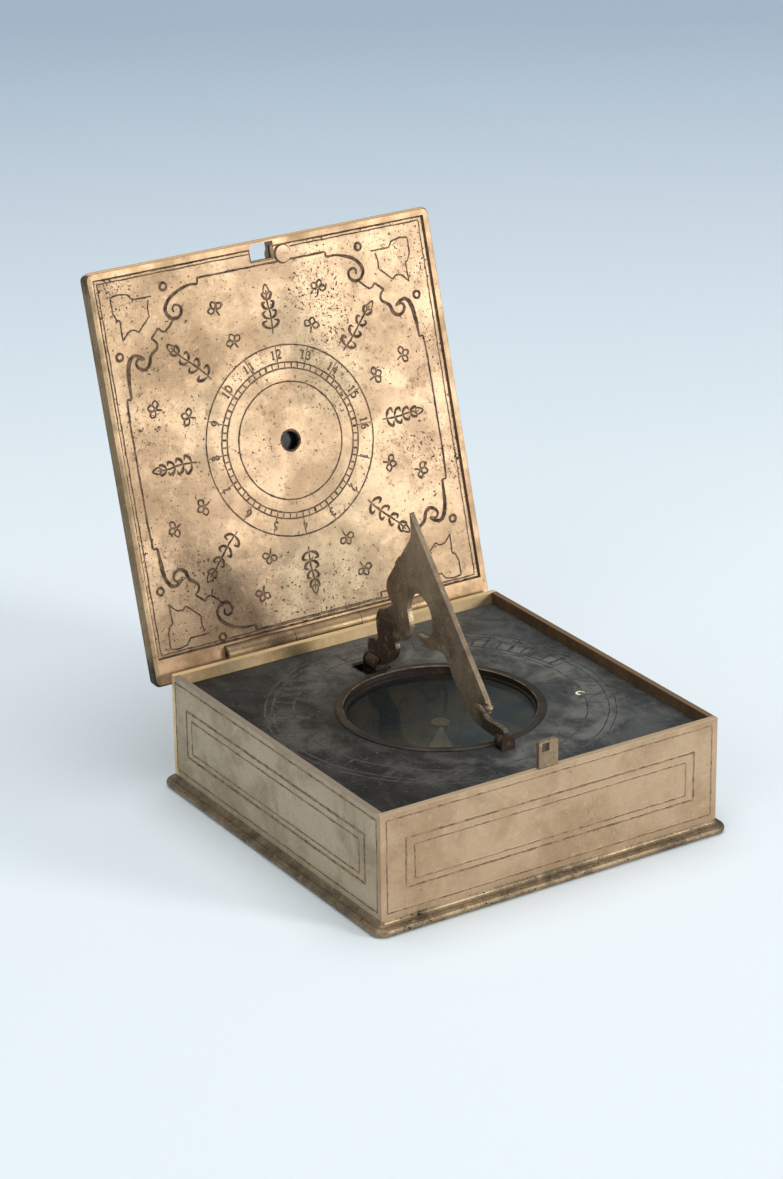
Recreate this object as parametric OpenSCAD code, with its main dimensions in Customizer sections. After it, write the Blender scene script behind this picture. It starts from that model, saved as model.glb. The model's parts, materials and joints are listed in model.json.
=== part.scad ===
// Book-shaped pocket sundial: a shallow metal case on a moulded base, a recessed dial
// plate with a compass and a pierced folding gnomon, and a hinged lid with a turning hook.
// The origin is the centre of the underside, +Z is up, the front wall is at -Y and the
// lid is hinged at the back. The case is drawn open, as it is used.

/* [Case] */
// Outside width and depth of the walls
case_w = 64; // [58:0.5:72]
// Height of the walls above the base plate
wall_h = 18; // [16:0.5:24]
// Thickness of the sheet of the walls
wall_t = 1; // [0.8:0.1:1.2]
// Thickness of the moulded base plate
base_t = 2.2; // [1.8:0.1:3]
// How far the base moulding stands out past the walls
base_lip = 1.7; // [1.2:0.1:2.5]

/* [Dial] */
// Depth of the dial plate below the rim of the walls
dial_recess = 2; // [2:0.1:3]
// Thickness of the dial plate
dial_t = 1.2; // [1:0.1:1.6]
// Outside radius of the compass bezel
bezel_r = 17.3; // [15.5:0.1:17.3]
// Depth of the compass bowl below the dial plate
bowl_depth = 8; // [7:0.1:9]
// Depth of the top of the glass below the dial plate
glass_drop = 1.2; // [1:0.1:1.4]

/* [Gnomon] */
// Angle of the style above the dial plate, in degrees
style_angle = 48.9; // [46:0.1:50]
// Thickness of the gnomon plate
gnomon_t = 0.9; // [0.7:0.1:1.1]
// Radius of the gnomon's knuckles and fork eyes
knuckle_r = 1.25; // [1.1:0.05:1.25]

/* [Lid] */
// Angle through which the lid opens, in degrees
lid_open = 106; // [95:1:110]
// Width of the lid
lid_w = 66.7; // [65:0.1:70]
// Overall thickness of the lid
lid_t = 2.8; // [2.6:0.1:3.2]
// How far the lid and its hinge sit to the right of the middle of the case
lid_shift = -1; // [-1:0.1:1]
// Radius of the hinge barrel
barrel_r = 1.35; // [1.2:0.05:1.35]
// Length of the hinge barrel
barrel_len = 39; // [30:1:44]
// Angle that the hook turns through to reach the staple, in degrees
hook_turn = 55; // [50:1:60]

/* [Hidden] */
$fn = 96;

// Small working gaps and shared fits
seat_gap = 0.05;
run_gap = 0.1;
eps = 0.01;

// Heights
rim_z = base_t + wall_h;
dial_z = rim_z - dial_recess;
dial_under = dial_z - dial_t;
half_case = case_w / 2;

// Compass
bezel_in = bezel_r - 1.5;
bezel_rise = 0.35;
bowl_r = bezel_r - 0.7;
bowl_in = bowl_r - 0.7;
bowl_floor_t = 0.8;
rivet_ring_r = bezel_r + 6;
rivet_angles = [-24, 66, 156, 246];
glass_t = 0.8;
glass_top = dial_z - glass_drop;
glass_under = glass_top - glass_t;
seat_t = 0.5;
bowl_floor = dial_z - bowl_depth;
card_t = 0.3;
needle_z = glass_under - 1.1;
needle_reach = 10.5;
needle_heading = 68;

// Gnomon axis, which runs front to back over the dial plate
fold_z = dial_z + 1;
outline_z = dial_z - 0.4;
fold_pin_r = 0.45;
front_fork_y = -bezel_r - 1.2;
rear_fork_y = bezel_r + 2.3;
front_tongue = 0.9;
rear_tongue = 2.8;
eye_t = 0.6;
tip_y = 8.1;
tip_z = outline_z + 31.7;

// Lid, drawn closed about the hinge axis and then turned open
hinge_y = half_case + 1.9;
hinge_z = rim_z + 0.03;
lid_back = 2.7;
lid_front = hinge_y + half_case + 0.7;
lid_skin = 0.9;
lid_rail = 1.35;
lining_w = 0.5;
lining_t = 0.8;
back_rail = 1.8;
vane_hole_r = 1.6;
vane_hole_x = -0.35;
vane_hole_v = 32.5;
slot_half = 2.15;
slot_far = lid_front - 0.6;
slot_near = slot_far - 2.9;
hook_pivot_x = 3.9;
hook_pivot_v = lid_front - 3.1;
hook_r = 4.64;
hook_t = 1;
hook_gap = 0.1;
hook_width = 0.8;

// Staple on the front wall
staple_x = lid_shift + 0.2;
staple_half = 1.8;
staple_t = 0.8;
staple_rise = 4.6;
staple_y = -half_case + 0.15;
eye_half = 0.7;
eye_height = lid_t + 0.7;
eye_shift = -0.55;

// Hinge
pin_r = 0.6;
barrel_third = barrel_len / 3;
leaf_t = 1.1;
leaf_drop = 9;
lid_strap = 8;

// Points of an arc round [cx, cy], from a0 to a1 degrees
function arc(cx, cy, r, a0, a1, n) =
    [for (i = [0:n]) let (a = a0 + (a1 - a0) * i / n) [cx + r * cos(a), cy + r * sin(a)]];

// One point of a smooth curve through b and c, with neighbours a and d
function blend_point(a, b, c, d, t) =
    0.5 * (2 * b + (c - a) * t + (2 * a - 5 * b + 4 * c - d) * t * t
        + (3 * b - a - 3 * c + d) * t * t * t);

// Smooth curve through a list of points, n steps between each pair
function smooth(p, n) = concat(
    [for (i = [0:len(p) - 2], k = [0:n - 1])
        blend_point(p[max(i - 1, 0)], p[i], p[i + 1], p[min(i + 2, len(p) - 1)], k / n)],
    [p[len(p) - 1]]);

// A rectangular plate whose edge has the section `profile`, a list of [outward, up]
// points that starts and ends on the line outward = 0; `reach` is its greatest width
module moulded_plate(w, l, h, reach, profile) {
    core_w = w - 2 * reach;
    core_l = l - 2 * reach;
    translate([-core_w / 2, -core_l / 2, 0])
        cube([core_w, core_l, h]);
    for (side = [0, 1]) {
        span = side == 0 ? core_l : core_w;
        offset_out = side == 0 ? core_w / 2 : core_l / 2;
        for (turn = [0, 180])
            rotate([0, 0, side * 90 + turn])
                translate([offset_out, span / 2, 0])
                    rotate([90, 0, 0])
                        linear_extrude(span)
                            polygon(profile);
    }
    for (sx = [0, 1], sy = [0, 1])
        mirror([sx, 0, 0])
            mirror([0, sy, 0])
                translate([core_w / 2, core_l / 2, 0])
                    rotate_extrude(angle = 90)
                        polygon(profile);
}

// Moulded plate that carries the whole case
base_reach = 2.2;
base_profile = concat(
    [[0, 0], [1.5, 0]],
    arc(1.5, 0.7, 0.7, -90, 60, 8),
    [[1.55, 1.4]],
    arc(1.3, 2.05, 0.6, -65, -165, 6),
    [[0.5, base_t], [0, base_t]]);
module base_plate() {
    edge = case_w + 2 * base_lip;
    color("darkgoldenrod")
        moulded_plate(edge, edge, base_t, base_reach, base_profile);
}

// Front and back sheets span the full width; the side sheets fit between them
module cross_wall(y) {
    translate([-half_case, y, base_t])
        cube([case_w, wall_t, wall_h]);
}

module front_wall() {
    color("burlywood")
        difference() {
            cross_wall(-half_case);
            translate([staple_x - staple_half - seat_gap, staple_y - seat_gap, rim_z - 2.5])
                cube([2 * (staple_half + seat_gap), wall_t + 1, 3]);
        }
}

module back_wall() {
    color("burlywood")
        difference() {
            cross_wall(half_case - wall_t);
            leaf_rivet_places()
                cylinder(r = leaf_rivet_r + seat_gap, h = 8, center = true);
        }
}

module side_wall(x) {
    translate([x, -half_case + wall_t, base_t])
        cube([wall_t, case_w - 2 * wall_t, wall_h]);
}

module left_wall() {
    color("darkkhaki") side_wall(-half_case);
}

module right_wall() {
    color("peru") side_wall(half_case - wall_t);
}

// Four posts in the corners, which stiffen the joints and carry the dial plate
post = 3;
module corner_posts() {
    inner = half_case - wall_t;
    color("peru")
        for (sx = [-1, 1], sy = [-1, 1])
            translate([sx * (inner - post / 2), sy * (inner - post / 2), base_t])
                difference() {
                    translate([-post / 2, -post / 2, 0])
                        cube([post, post, dial_under - base_t]);
                    translate([-sx * post / 2, -sy * post / 2, -1])
                        cylinder(r = post / 3, h = wall_h);
                }
}

// Openings in the dial plate for the two forks of the gnomon
module fork_mortises(h) {
    translate([-knuckle_r - seat_gap, front_fork_y - fork_half(front_tongue) - seat_gap, 0])
        cube([2 * (knuckle_r + seat_gap), 2 * (fork_half(front_tongue) + seat_gap), h]);
    translate([-3.2, rear_fork_y - fork_half(rear_tongue) - seat_gap, 0])
        cube([3.2 + knuckle_r + 0.6, 2 * (fork_half(rear_tongue) + seat_gap), h]);
}

module dial_plate() {
    side = case_w - 2 * wall_t - 2 * seat_gap;
    color("slategray")
        difference() {
            translate([-side / 2, -side / 2, dial_under])
                cube([side, side, dial_t]);
            translate([0, 0, dial_under - 1])
                cylinder(r = bowl_r + seat_gap, h = dial_t + 2);
            translate([0, 0, dial_under - 1])
                fork_mortises(dial_t + 2);
            rivet_ring()
                translate([0, 0, dial_under - 1])
                    cylinder(r = 0.5 + seat_gap, h = dial_t + 2);
        }
}

module rivet_ring() {
    for (a = rivet_angles)
        rotate([0, 0, a])
            translate([rivet_ring_r, 0, 0])
                children();
}

// Turned cup under the dial plate with four ears that are riveted to it
module compass_bowl() {
    cup = [
        [0, bowl_floor - bowl_floor_t], [bowl_r - 1, bowl_floor - bowl_floor_t],
        [bowl_r, bowl_floor - bowl_floor_t + 1], [bowl_r, dial_z - seat_gap],
        [bowl_in, dial_z - seat_gap], [bowl_in, glass_under - seat_t],
        [bowl_in - 0.5, glass_under - seat_t - 0.5], [bowl_in - 0.5, bowl_floor],
        [0, bowl_floor]
    ];
    color("saddlebrown") {
        difference() {
            union() {
                rotate_extrude()
                    polygon(cup);
                rivet_ring()
                    translate([-rivet_ring_r + bowl_r - 0.3, -1.5, dial_under - 0.8 - seat_gap])
                        cube([rivet_ring_r - bowl_r + 2, 3, 0.8]);
            }
            rivet_ring()
                translate([0, 0, dial_under - 3])
                    cylinder(r = 0.5 + seat_gap, h = 4);
        }
    }
}

// Rivets that pass through the dial plate and the ears of the bowl
module bowl_rivets() {
    color("goldenrod")
        rivet_ring() {
            translate([0, 0, dial_under - 0.85 - 0.4])
                cylinder(r = 0.9, h = 0.4 - seat_gap);
            translate([0, 0, dial_under - 0.85 - 0.2])
                cylinder(r = 0.5, h = dial_t + 0.85 + 0.25);
        }
}

module compass_card() {
    color("antiquewhite")
        translate([0, 0, bowl_floor])
            difference() {
                cylinder(r = bowl_in - 0.5 - seat_gap, h = card_t);
                translate([0, 0, -1])
                    cylinder(r = 0.8 + seat_gap, h = 3);
            }
}

// Tall cone with a fine point that the needle's cap rests on
module needle_pivot() {
    cone = [
        [0, bowl_floor], [0.8, bowl_floor], [0.8, bowl_floor + card_t],
        [2.2, bowl_floor + card_t], [0.4, needle_z - 0.8], [0.2, needle_z - 0.3],
        [0.1, needle_z + 0.15], [0, needle_z + 0.3]
    ];
    color("khaki")
        rotate_extrude()
            polygon(cone);
}

// One arm of the needle: a thin shaft that ends in a leaf
module needle_arm() {
    polygon([
        [-0.25, 0], [0.25, 0], [0.25, needle_reach - 4], [0.75, needle_reach - 2.6],
        [0, needle_reach], [-0.75, needle_reach - 2.6], [-0.25, needle_reach - 4]
    ]);
}

// Thin steel needle with a round eye for its cap
module compass_needle() {
    color("dimgray")
        translate([0, 0, needle_z])
            rotate([0, 0, needle_heading])
                linear_extrude(0.25)
                    difference() {
                        union() {
                            needle_arm();
                            mirror([0, 1, 0])
                                needle_arm();
                            circle(r = 1.25);
                        }
                        circle(r = 0.75 + 0.02);
                    }
}

// Hollow cap whose cone turns on the pivot's point; its flange rests on the needle's eye
module needle_cap() {
    cap = [
        [0, needle_z + 0.34], [0.25, needle_z - 0.1], [0.75, needle_z - 0.1],
        [0.75, needle_z + 0.27], [1.5, needle_z + 0.27], [1.5, needle_z + 0.45],
        [0.6, needle_z + 0.5], [0.4, needle_z + 0.85], [0, needle_z + 0.9]
    ];
    color("gold")
        rotate_extrude()
            polygon(cap);
}

module flat_ring(outer, inner, z, h) {
    translate([0, 0, z])
        difference() {
            cylinder(r = outer, h = h);
            translate([0, 0, -1])
                cylinder(r = inner, h = h + 2);
        }
}

module glass_seat_ring() {
    color("peru")
        flat_ring(bowl_in - 0.02, bowl_in - 0.8, glass_under - seat_t, seat_t);
}

module compass_glass() {
    color("lightblue", 0.5)
        translate([0, 0, glass_under])
            cylinder(r = bowl_in - seat_gap, h = glass_t);
}

module glass_retaining_ring() {
    color("peru")
        flat_ring(bowl_in - 0.02, bowl_in - 0.5, glass_top, 0.4);
}

// Ring with a rounded top that covers the joint between the bowl and the dial plate
module compass_bezel() {
    mid = (bezel_r + bezel_in) / 2;
    half = (bezel_r - bezel_in) / 2;
    ring = concat(
        [[bezel_in, dial_z], [bezel_r, dial_z]],
        [for (i = [0:8]) [mid + half * cos(180 * i / 8), dial_z + 0.1 + (bezel_rise - 0.1) * sin(180 * i / 8)]]);
    color("goldenrod")
        rotate_extrude()
            polygon(ring);
}

// Outline of the pierced gnomon in its own plane: [distance back, height above outline_z]
style_rise = tan(style_angle);
nose_y = -13.4;
nose_h = tip_z - outline_z - (tip_y - nose_y) * style_rise;
arm_low = fold_z - outline_z + knuckle_r + 0.1;
arm_sole = fold_z - outline_z + 0.1;
front_back = front_fork_y + front_tongue / 2;
front_face = front_fork_y - front_tongue / 2;
rear_face = rear_fork_y - rear_tongue / 2;
rear_back = rear_fork_y + rear_tongue / 2;
nose_curve = smooth([
    [nose_y, nose_h], [nose_y - 0.5, nose_h - 0.8], [nose_y + 0.3, nose_h - 1.4],
    [-11.6, nose_h - 1.6], [-10.1, 5.2]], 4);
arm_top = smooth([
    [-10.1, 5.2], [-12.3, 4.3], [-14.4, 3.6], [-16.7, 3.6], [front_face + 0.2, 3.4],
    [front_face, arm_low]], 4);
arm_under = smooth([
    [front_back + 0.95, arm_sole], [-14.4, arm_sole], [-11, 1.9], [-8.9, 2.9],
    [-7.6, 4.8], [-4.8, 6.8], [-2.4, 10.1], [0, 10.5]], 5);
cusp_under = smooth([[0, 10.5], [2, 9.9], [4.3, 9.9], [6.2, 11.1]], 5);
cusp_top = smooth([[6.2, 11.1], [4, 11.3], [2.2, 12.2], [1.5, 13.6]], 5);
arch = smooth([
    [1.5, 13.6], [2, 16.2], [3.6, 17.9], [6.1, 18.4], [8.3, 17], [9, 14.6],
    [8.3, 12], [8.7, 9.9]], 5);
leg_under = smooth([
    [8.7, 9.9], [10.5, 8.4], [12.7, 7.6], [12.6, 5.8], [13.7, 3.9], [15.6, 2.4],
    [rear_face - 0.95, arm_sole]], 5);
leg_back = smooth([
    [rear_back, arm_low], [21.4, 3.6], [20.9, 5.2], [18.2, 6], [18.5, 7.8],
    [18.6, 9.8], [17.6, 11.6], [15.8, 12.3], [13.4, 13.9]], 5);
scroll_back = smooth([
    [13.4, 13.9], [14.8, 15], [15.3, 17], [13.6, 19.8], [8.9, 26], [7.8, 28],
    [tip_y, tip_z - outline_z]], 5);

module gnomon_outline() {
    polygon(concat(
        nose_curve, arm_top,
        [[front_face, 1], [front_back, 1], [front_back, arm_low], [front_back + 0.95, arm_low]],
        arm_under, cusp_under, cusp_top, arch, leg_under,
        [[rear_face - 0.95, arm_low], [rear_face, arm_low], [rear_face, 1], [rear_back, 1]],
        leg_back, scroll_back));
}

// Cylinder along Y at the height of the gnomon's fold
module fold_cylinder(y, length, r) {
    translate([0, y, fold_z])
        rotate([90, 0, 0])
            cylinder(r = r, h = length, center = true);
}

// Pierced plate with a tongue at each foot that turns in its fork
module gnomon() {
    color("darkolivegreen")
        difference() {
            union() {
                translate([-gnomon_t / 2, 0, outline_z])
                    rotate([90, 0, 90])
                        linear_extrude(gnomon_t)
                            gnomon_outline();
                fold_cylinder(front_fork_y, front_tongue, knuckle_r);
                fold_cylinder(rear_fork_y, rear_tongue, knuckle_r);
            }
            fold_cylinder(front_fork_y, 3 * front_tongue, fold_pin_r + seat_gap);
            fold_cylinder(rear_fork_y, 2 * rear_tongue, fold_pin_r + seat_gap);
        }
}

function fork_half(tongue) = tongue / 2 + run_gap + eye_t;

// Two eyes on a foot, with a gap between them for the tongue
module fork(y, tongue) {
    half = fork_half(tongue);
    difference() {
        union() {
            fold_cylinder(y, 2 * half, knuckle_r);
            translate([-knuckle_r, y - half, dial_under - 0.4])
                cube([2 * knuckle_r, 2 * half, fold_z - dial_under + 0.4]);
        }
        fold_cylinder(y, 2 * half + 2, fold_pin_r + eps);
        translate([-2 * knuckle_r, y - tongue / 2 - run_gap, fold_z - knuckle_r - 0.15])
            cube([4 * knuckle_r, tongue + 2 * run_gap, 4 * knuckle_r]);
    }
}

// Fork whose foot is a tenon through the dial plate, spread underneath
module gnomon_front_fork() {
    color("sienna") {
        fork(front_fork_y, front_tongue);
        translate([-2, front_fork_y - 1.05, dial_under - 0.6])
            cube([4, 2.1, 0.6 - seat_gap]);
    }
}

// Fork on a shelf soldered under the dial plate, which closes the opening from below
module gnomon_rear_fork() {
    shelf_y = rear_fork_y - fork_half(rear_tongue);
    color("sienna") {
        fork(rear_fork_y, rear_tongue);
        translate([-4.6, shelf_y, dial_under - 0.8])
            cube([8, 2 * fork_half(rear_tongue) + 1.4, 0.8 - seat_gap]);
    }
}

module gnomon_front_pin() {
    color("darkred")
        fold_cylinder(front_fork_y, 2 * fork_half(front_tongue) + 0.1, fold_pin_r);
}

module gnomon_rear_pin() {
    color("darkred")
        fold_cylinder(rear_fork_y, 2 * fork_half(rear_tongue) + 0.1, fold_pin_r);
}

// Eyed tab let into the rim of the front wall
module lid_staple() {
    color("goldenrod")
        difference() {
            union() {
                translate([staple_x - staple_half, staple_y, rim_z - 2.45])
                    cube([2 * staple_half, staple_t, 2.45 + staple_rise - 0.5]);
                translate([staple_x - staple_half + 0.5, staple_y, rim_z])
                    cube([2 * staple_half - 1, staple_t, staple_rise]);
                for (side = [-1, 1])
                    translate([staple_x + side * (staple_half - 0.5), staple_y + staple_t,
                            rim_z + staple_rise - 0.5])
                        rotate([90, 0, 0])
                            cylinder(r = 0.5, h = staple_t);
            }
            translate([staple_x + eye_shift - eye_half, staple_y - 1, rim_z + eye_height - eye_half])
                cube([2 * eye_half, staple_t + 2, 2 * eye_half]);
        }
}

// Cylinder along X on the hinge axis, from x0 to x1 measured from the lid's middle
module hinge_cylinder(x0, x1, r) {
    translate([x0, 0, 0])
        rotate([0, 90, 0])
            cylinder(r = r, h = x1 - x0);
}

// Rivets through the leaf and the back wall
leaf_rivet_r = 0.6;
leaf_rivet_z = rim_z - 6;
leaf_rivet_xs = [-15, -5, 5, 15];
module leaf_rivet_places() {
    for (x = leaf_rivet_xs)
        translate([lid_shift + x, half_case, leaf_rivet_z])
            rotate([-90, 0, 0])
                children();
}

// Leaf on the back of the case with the two outer knuckles
module hinge_case_leaf() {
    web_top = 0.1;
    color("goldenrod")
        difference() {
            union() {
                translate([lid_shift - barrel_len / 2, half_case, rim_z - leaf_drop])
                    cube([barrel_len, leaf_t, leaf_drop - barrel_r - 0.25]);
                for (side = [-1, 1]) {
                    x0 = side < 0 ? -barrel_len / 2 : barrel_third / 2 + run_gap;
                    span = barrel_third - run_gap;
                    translate([lid_shift + x0, half_case, rim_z - barrel_r - 0.3])
                        cube([span, 1.3, barrel_r + 0.3 - web_top]);
                    translate([lid_shift, hinge_y, hinge_z])
                        hinge_cylinder(x0, x0 + span, barrel_r);
                }
            }
            translate([lid_shift, hinge_y, hinge_z])
                hinge_cylinder(-barrel_len, barrel_len, pin_r + 0.02);
            leaf_rivet_places()
                cylinder(r = leaf_rivet_r + seat_gap, h = 8, center = true);
        }
}

module hinge_leaf_rivets() {
    color("darkgoldenrod")
        leaf_rivet_places() {
            translate([0, 0, -wall_t - 0.25])
                cylinder(r = leaf_rivet_r, h = wall_t + leaf_t + 0.25);
            translate([0, 0, leaf_t - 0.02])
                rotate_extrude()
                    polygon(concat([[0, 0]], [for (i = [0:6]) [cos(15 * i), 0.02 + 0.4 * sin(15 * i)]]));
        }
}

module hinge_pin() {
    color("dimgray")
        translate([lid_shift, hinge_y, hinge_z])
            hinge_cylinder(-barrel_len / 2 - seat_gap, barrel_len / 2 + seat_gap, pin_r);
}

// Turns what is drawn closed, with the hinge axis as its origin, to the open lid
module on_lid() {
    translate([lid_shift, hinge_y, hinge_z])
        rotate([-lid_open, 0, 0])
            children();
}

// Middle knuckle with a strap that lies between the lid's shell and its lining
module hinge_lid_leaf() {
    half = barrel_third / 2;
    color("goldenrod")
        on_lid()
            difference() {
                union() {
                    hinge_cylinder(-half, half, barrel_r);
                    translate([-half, -lid_strap, lining_w + lining_t + 0.02])
                        cube([2 * half, lid_strap, lid_t - lid_skin - lining_w - lining_t - 0.04]);
                }
                hinge_cylinder(-barrel_len, barrel_len, pin_r + seat_gap);
            }
}

module lid_slot() {
    translate([-slot_half, -slot_far, -1])
        cube([2 * slot_half, slot_far - slot_near, lid_t + 2]);
}

// Shallow tray with a moulded edge: the outer skin of the lid and its rails
lid_reach = 1.3;
lid_profile = concat(
    [[0, 0], [0.9, 0]],
    arc(0.6, 0.75, 0.7, -60, 60, 6),
    [[0.9, 1.55]],
    arc(0.3, lid_t - 0.7, 0.7, -30, 90, 6),
    [[0, lid_t]]);
module lid_shell() {
    lid_l = lid_front + lid_back;
    pocket_half = lid_w / 2 - lid_rail;
    floor_w = lid_t - lid_skin;
    color("tan")
        on_lid()
            difference() {
                translate([0, (lid_back - lid_front) / 2, 0])
                    moulded_plate(lid_w, lid_l, lid_t, lid_reach, lid_profile);
                translate([-pocket_half, -lid_front + lid_rail, -1])
                    cube([2 * pocket_half, lid_front - lid_rail - back_rail, floor_w + 1]);
                hinge_cylinder(-barrel_len / 2 - run_gap, barrel_len / 2 + run_gap, barrel_r + run_gap);
                translate([-barrel_third / 2 - seat_gap, -lid_strap - seat_gap, lining_w + lining_t])
                    cube([barrel_third + 2 * seat_gap, lid_strap + 2 * seat_gap, floor_w - lining_w - lining_t]);
                lid_slot();
                translate([hook_pivot_x, -hook_pivot_v, -1])
                    cylinder(r = 0.7 + 0.02, h = lid_t + 2);
            }
}

lining_half = lid_w / 2 - lid_rail - seat_gap;
lining_front = lid_front - lid_rail - seat_gap;
lining_back = back_rail + seat_gap;
lining_rivet_r = 0.45;

// Eight rivets near the corners of the lining, two to a corner, as distances from the
// socket of the wind vane
lining_rivet_offsets = [[18.9, 29.6], [28.9, 19.6]];
module lining_rivet_places() {
    for (sx = [-1, 1], sv = [-1, 1], place = lining_rivet_offsets)
        translate([vane_hole_x + sx * place[0], -(vane_hole_v + sv * place[1]), 0])
            children();
}

// Engraved inner plate of the lid, let in between the rails
module lid_lining() {
    color("burlywood")
        on_lid()
            difference() {
                translate([-lining_half, -lining_front, lining_w])
                    cube([2 * lining_half, lining_front - lining_back, lining_t]);
                lid_slot();
                translate([vane_hole_x, -vane_hole_v, -1])
                    cylinder(r = vane_hole_r, h = lid_t);
                translate([hook_pivot_x, -hook_pivot_v, -1])
                    cylinder(r = 0.7 + 0.02, h = lid_t + 2);
                lining_rivet_places()
                    translate([0, 0, -1])
                        cylinder(r = lining_rivet_r + 0.02, h = lid_t + 2);
            }
}

module lining_rivets() {
    color("goldenrod")
        on_lid()
            lining_rivet_places()
                translate([0, 0, lining_w])
                    cylinder(r = lining_rivet_r, h = lid_t - lid_skin - lining_w);
}

// Curved hook on the outside of the lid; `hook_turn` brings its tip through the staple
hook_tip = 146 + hook_turn;
hook_tail = hook_tip + 90;
hook_arm = 1.2;
module latch_hook() {
    color("goldenrod")
        on_lid()
            translate([hook_pivot_x, -hook_pivot_v, lid_t + hook_gap])
                mirror([0, 1, 0])
                    difference() {
                        union() {
                            cylinder(r = 1.5, h = hook_t);
                            linear_extrude(hook_t)
                                hook_arc();
                            rotate([0, 0, hook_tail])
                                translate([0, -hook_arm / 2, 0])
                                    cube([hook_r, hook_arm, hook_t]);
                            rotate([0, 0, hook_tail])
                                translate([hook_r + 0.4, 0, 0])
                                    cylinder(r = 1, h = hook_t);
                        }
                        translate([0, 0, -1])
                            cylinder(r = 0.7 + seat_gap, h = hook_t + 2);
                    }
}

// Band along the circle that the hook's tip travels on, pointed at its free end
module hook_arc() {
    polygon(concat(
        [[hook_r * cos(hook_tip), hook_r * sin(hook_tip)]],
        arc(0, 0, hook_r - hook_width / 2, hook_tip + 4, hook_tail, 12),
        arc(0, 0, hook_r + hook_width / 2, hook_tail, hook_tip + 8, 12)));
}

// Rivet that the hook turns on, with a flat head on the inside of the lid
module latch_rivet() {
    top = lid_t + hook_gap + hook_t;
    color("darkgoldenrod")
        on_lid()
            translate([hook_pivot_x, -hook_pivot_v, 0]) {
                translate([0, 0, 0.05])
                    cylinder(r = 1.4, h = lining_w - 0.05);
                translate([0, 0, 0.2])
                    cylinder(r = 0.7, h = top + 0.1 - 0.2 + 0.2);
                translate([0, 0, top + 0.1])
                    cylinder(r = 1.2, h = 0.4);
            }
}

base_plate();
front_wall();
back_wall();
left_wall();
right_wall();
corner_posts();
dial_plate();
compass_bowl();
bowl_rivets();
compass_card();
needle_pivot();
compass_needle();
needle_cap();
glass_seat_ring();
compass_glass();
glass_retaining_ring();
compass_bezel();
gnomon();
gnomon_front_fork();
gnomon_rear_fork();
gnomon_front_pin();
gnomon_rear_pin();
lid_staple();
hinge_case_leaf();
hinge_leaf_rivets();
hinge_lid_leaf();
hinge_pin();
lid_shell();
lid_lining();
lining_rivets();
latch_hook();
latch_rivet();
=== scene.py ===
"""Looks of a book-shaped pocket sundial of gilt brass: camera, light, metals and engraving.

All places are in the part's own frame. Lengths named in this script are millimetres and are
turned into metres where a mesh is made. Engraved lines are narrow ridged strips that lie on
the plates of the CAD model, with a dark furrow between two bright burrs.
"""

import json
import math
import random

import bpy
from mathutils import Matrix, Vector


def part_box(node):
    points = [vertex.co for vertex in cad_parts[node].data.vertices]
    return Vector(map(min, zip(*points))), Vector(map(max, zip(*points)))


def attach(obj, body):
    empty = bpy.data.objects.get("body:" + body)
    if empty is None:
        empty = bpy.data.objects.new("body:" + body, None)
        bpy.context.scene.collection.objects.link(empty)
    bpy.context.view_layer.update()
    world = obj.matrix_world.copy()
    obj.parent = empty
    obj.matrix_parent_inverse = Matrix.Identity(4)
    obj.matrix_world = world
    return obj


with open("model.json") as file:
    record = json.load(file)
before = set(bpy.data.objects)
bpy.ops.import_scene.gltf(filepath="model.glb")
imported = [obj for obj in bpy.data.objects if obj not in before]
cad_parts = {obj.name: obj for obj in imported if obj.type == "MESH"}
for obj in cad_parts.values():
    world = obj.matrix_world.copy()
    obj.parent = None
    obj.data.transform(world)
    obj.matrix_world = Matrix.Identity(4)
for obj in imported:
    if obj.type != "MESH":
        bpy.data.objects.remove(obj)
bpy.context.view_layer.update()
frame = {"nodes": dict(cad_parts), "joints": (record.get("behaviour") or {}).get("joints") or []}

MM = 0.001
NODES = frame["nodes"]
JOINTS = {joint["name"]: joint for joint in frame["joints"]}
ACROSS = Vector((1, 0, 0))
BACK = Vector((0, 1, 0))
UP = Vector((0, 0, 1))

# Camera, found from the corners of the case in a picture 783 by 1179
IMAGE_HEIGHT = 1179
FOCAL_PX = 3747.5
SENSOR = 36
CAMERA_YAW = -32.346
CAMERA_PITCH = 22.766
CAMERA_ROLL = -0.741
CAMERA_DISTANCE = 678.61
CAMERA_TARGET = Vector((31.688, 64.488, 9.0))


def make_camera():
    yaw, pitch, roll = (math.radians(a) for a in (CAMERA_YAW, CAMERA_PITCH, CAMERA_ROLL))
    back = Vector((math.sin(yaw) * math.cos(pitch), -math.cos(yaw) * math.cos(pitch),
                   math.sin(pitch)))
    right = Vector((math.cos(yaw), math.sin(yaw), 0))
    up = back.cross(right)
    turned_right = right * math.cos(roll) + up * math.sin(roll)
    turned_up = up * math.cos(roll) - right * math.sin(roll)
    place = (CAMERA_TARGET + back * CAMERA_DISTANCE) * MM
    data = bpy.data.cameras.new("camera")
    data.sensor_fit = "VERTICAL"
    data.sensor_height = SENSOR
    data.lens = FOCAL_PX / IMAGE_HEIGHT * SENSOR
    data.clip_start = 0.01
    camera = bpy.data.objects.new("camera", data)
    bpy.context.scene.collection.objects.link(camera)
    camera.matrix_world = Matrix((
        (turned_right.x, turned_up.x, back.x, place.x),
        (turned_right.y, turned_up.y, back.y, place.y),
        (turned_right.z, turned_up.z, back.z, place.z),
        (0, 0, 0, 1)))
    bpy.context.scene.camera = camera


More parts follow.
